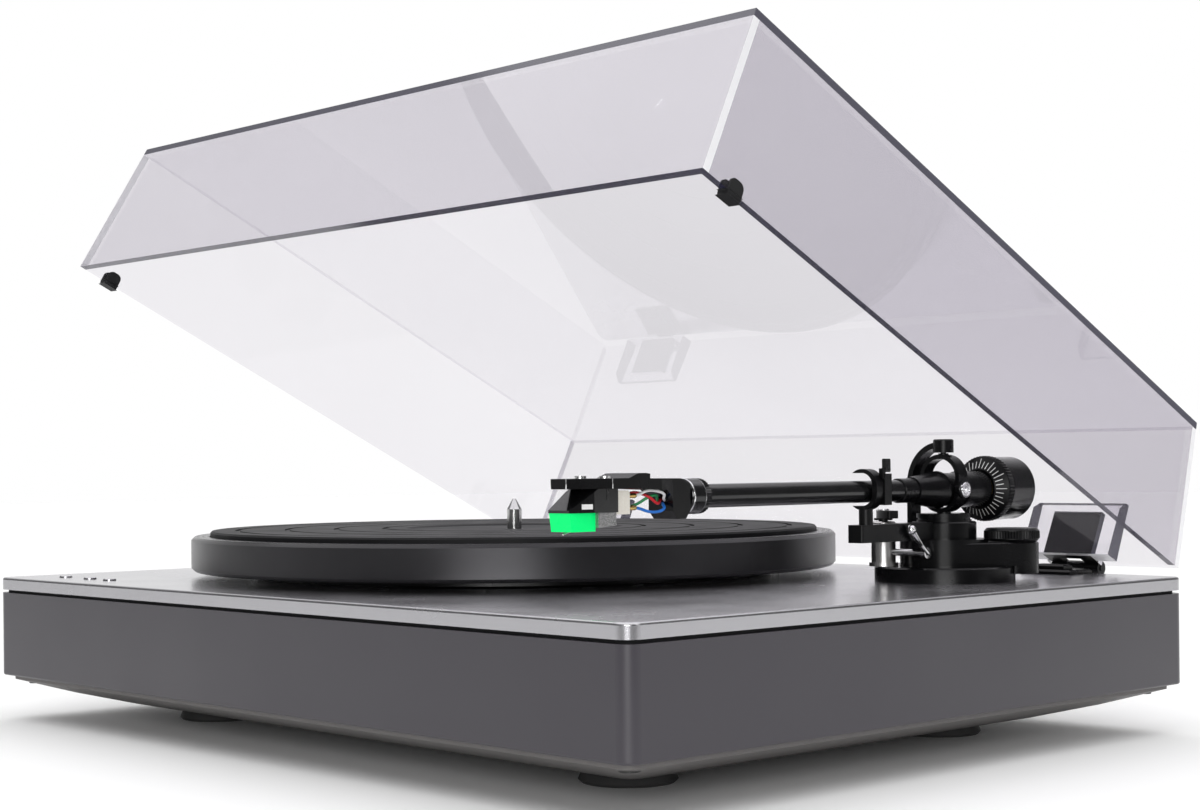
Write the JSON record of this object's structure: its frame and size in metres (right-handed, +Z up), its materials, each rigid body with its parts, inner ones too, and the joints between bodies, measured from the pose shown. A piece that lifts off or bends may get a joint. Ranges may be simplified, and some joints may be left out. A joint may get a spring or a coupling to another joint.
{
  "type": "turntable",
  "caption": "Direct-drive record turntable: flat plinth with a metal plate, ribbed-mat platter, straight gimbal tonearm with a dialled counterweight, push buttons and a hinged clear lid.",
  "frame": {"origin": "On the surface that the feet stand on, under the middle of the whole object's bounding box with the lid open as in the picture.", "axes": "X runs to the right along the width as seen from the front, -Y is the front with the push buttons, and Z is up along the record spindle."},
  "size_m": [0.435, 0.371, 0.2807],
  "materials": {
    "dark_grey_board": "satin paint",
    "black_aluminium": "satin",
    "black_moulding": "matte",
    "black_paint": "satin",
    "gloss_black_paint": "gloss",
    "black_rubber": "matte",
    "fine_steel": "brushed",
    "polished_steel": "polished",
    "satin_aluminium": "satin",
    "motor_metal": "cast",
    "magnet_steel": "plain",
    "copper_winding": "lacquered",
    "brass": "turned",
    "gold_plate": "polished",
    "circuit_board": "matte",
    "gloss_black_moulding": "gloss",
    "green_moulding": "gloss",
    "pale_moulding": "matte",
    "lead_jacket": "matte",
    "clear_sheet": "polished clear",
    "clear_moulding": "polished clear"
  },
  "bodies": {
    "plinth": {"plinth_body": "dark_grey_board", "base_pan": "black_moulding", "feet": "black_rubber", "base_screws": "fine_steel", "plate_gasket": "black_rubber", "top_plate": "satin_aluminium", "motor_frame": "motor_metal", "motor_stator": "copper_winding", "spindle_bearing": "brass", "switch_board": "circuit_board", "control_board": "circuit_board", "rear_panel": "black_moulding", "output_sockets": "gold_plate", "power_inlet": "gloss_black_moulding", "ground_post": "polished_steel", "signal_leads": "black_rubber", "arm_base": "black_paint", "arm_base_nut": "fine_steel", "arm_housing": "black_paint", "arm_turret": "black_paint", "bearing_bracket": "black_paint", "armrest_bracket": "black_moulding", "armrest_clip": "black_moulding", "lift_cylinder": "satin_aluminium", "hinge_feet": "black_moulding"},
    "platter": {"platter": "black_aluminium", "platter_mat": "black_rubber", "drive_rotor": "magnet_steel", "spindle": "polished_steel"},
    "power_button": {"power_button": "polished_steel"},
    "speed_button_33": {"speed_button_33": "polished_steel"},
    "speed_button_45": {"speed_button_45": "polished_steel"},
    "arm_gimbal": {"gimbal_ring": "black_paint", "bearing_screws": "polished_steel"},
    "tonearm": {"arm_block": "black_paint", "arm_tube": "gloss_black_paint", "rear_stub": "black_paint", "headshell": "gloss_black_paint", "headshell_screws": "fine_steel", "cartridge_body": "gloss_black_moulding", "cartridge_blocks": "pale_moulding", "stylus_body": "green_moulding", "stylus_cantilever": "satin_aluminium", "cartridge_leads": "lead_jacket"},
    "headshell_collar": {"headshell_collar": "gloss_black_paint"},
    "weight_carriage": {"weight_sleeve": "brass"},
    "counterweight": {"counterweight": "gloss_black_paint"},
    "dial_ring": {"dial_ring": "black_moulding"},
    "antiskate_knob": {"antiskate_knob": "black_moulding"},
    "cue_lever": {"cue_lever": "polished_steel"},
    "lift_platform": {"lift_platform": "black_moulding"},
    "rest_latch": {"rest_latch": "gloss_black_moulding"},
    "lid": {"lid_top": "clear_sheet", "lid_front": "clear_sheet", "lid_rear": "clear_sheet", "lid_left": "clear_sheet", "lid_right": "clear_sheet", "hinge_pockets": "clear_moulding", "hinge_blades": "black_paint", "lid_bumpers": "black_rubber"}
  },
  "joints": [
    {"name": "platter_spin", "type": "hinge", "parent": "plinth", "child": "platter", "pos_m": [-0.044, -0.00602, 0.075], "axis": [0, 0, -1], "continuous": true},
    {"name": "power_button_press", "type": "slide", "parent": "plinth", "child": "power_button", "axis": [0, 0, -1], "range_m": [0, 0.0008], "stiffness_N_per_m": 600},
    {"name": "speed_button_33_press", "type": "slide", "parent": "plinth", "child": "speed_button_33", "axis": [0, 0, -1], "range_m": [0, 0.0008], "stiffness_N_per_m": 600},
    {"name": "speed_button_45_press", "type": "slide", "parent": "plinth", "child": "speed_button_45", "axis": [0, 0, -1], "range_m": [0, 0.0008], "stiffness_N_per_m": 600},
    {"name": "arm_swing", "type": "hinge", "parent": "plinth", "child": "arm_gimbal", "pos_m": [0.1525, 0.06948, 0.1072], "axis": [0, 0, -1], "range_deg": [0, 57.5]},
    {"name": "arm_pitch", "type": "hinge", "parent": "arm_gimbal", "child": "tonearm", "pos_m": [0.1525, 0.06948, 0.1072], "axis": [-0.9998, -0.0209, 0], "range_deg": [-0.9, 3]},
    {"name": "collar_turn", "type": "hinge", "parent": "tonearm", "child": "headshell_collar", "pos_m": [0.15585, -0.09049, 0.1072], "axis": [0.0209, -0.9998, 0], "range_deg": [0, 45]},
    {"name": "weight_slide", "type": "slide", "parent": "tonearm", "child": "weight_carriage", "axis": [-0.0209, 0.9998, 0], "range_m": [-0.00081, 0.00401]},
    {"name": "weight_turn", "type": "hinge", "parent": "weight_carriage", "child": "counterweight", "pos_m": [0.15166, 0.10947, 0.1072], "axis": [0.0209, -0.9998, 0], "range_deg": [-144, 720]},
    {"name": "dial_turn", "type": "hinge", "parent": "counterweight", "child": "dial_ring", "pos_m": [0.15187, 0.09947, 0.1072], "axis": [0.0209, -0.9998, 0], "continuous": true},
    {"name": "antiskate_turn", "type": "hinge", "parent": "plinth", "child": "antiskate_knob", "pos_m": [0.173, 0.08998, 0.088], "axis": [0, 0, 1], "range_deg": [0, 270]},
    {"name": "cue_lever_turn", "type": "hinge", "parent": "plinth", "child": "cue_lever", "pos_m": [0.148, 0.04848, 0.0806], "axis": [-1, 0, 0], "range_deg": [0, 45]},
    {"name": "lift_rise", "type": "slide", "parent": "plinth", "child": "lift_platform", "axis": [0, 0, 1], "range_m": [0, 0.0022]},
    {"name": "latch_turn", "type": "hinge", "parent": "plinth", "child": "rest_latch", "pos_m": [0.16065, 0.01964, 0.1164], "axis": [0.0209, -0.9998, 0], "range_deg": [0, 85]},
    {"name": "lid_hinge", "type": "hinge", "parent": "plinth", "child": "lid", "pos_m": [0, 0.15998, 0.07], "axis": [-1, 0, 0], "range_deg": [-26.2, 20]}
  ],
  "couplings": [
    {"joint": "weight_slide", "follows": "weight_turn", "m_per_rad": 0.00031831},
    {"joint": "lift_rise", "follows": "cue_lever_turn", "m_per_rad": 0.0028008}
  ]
}
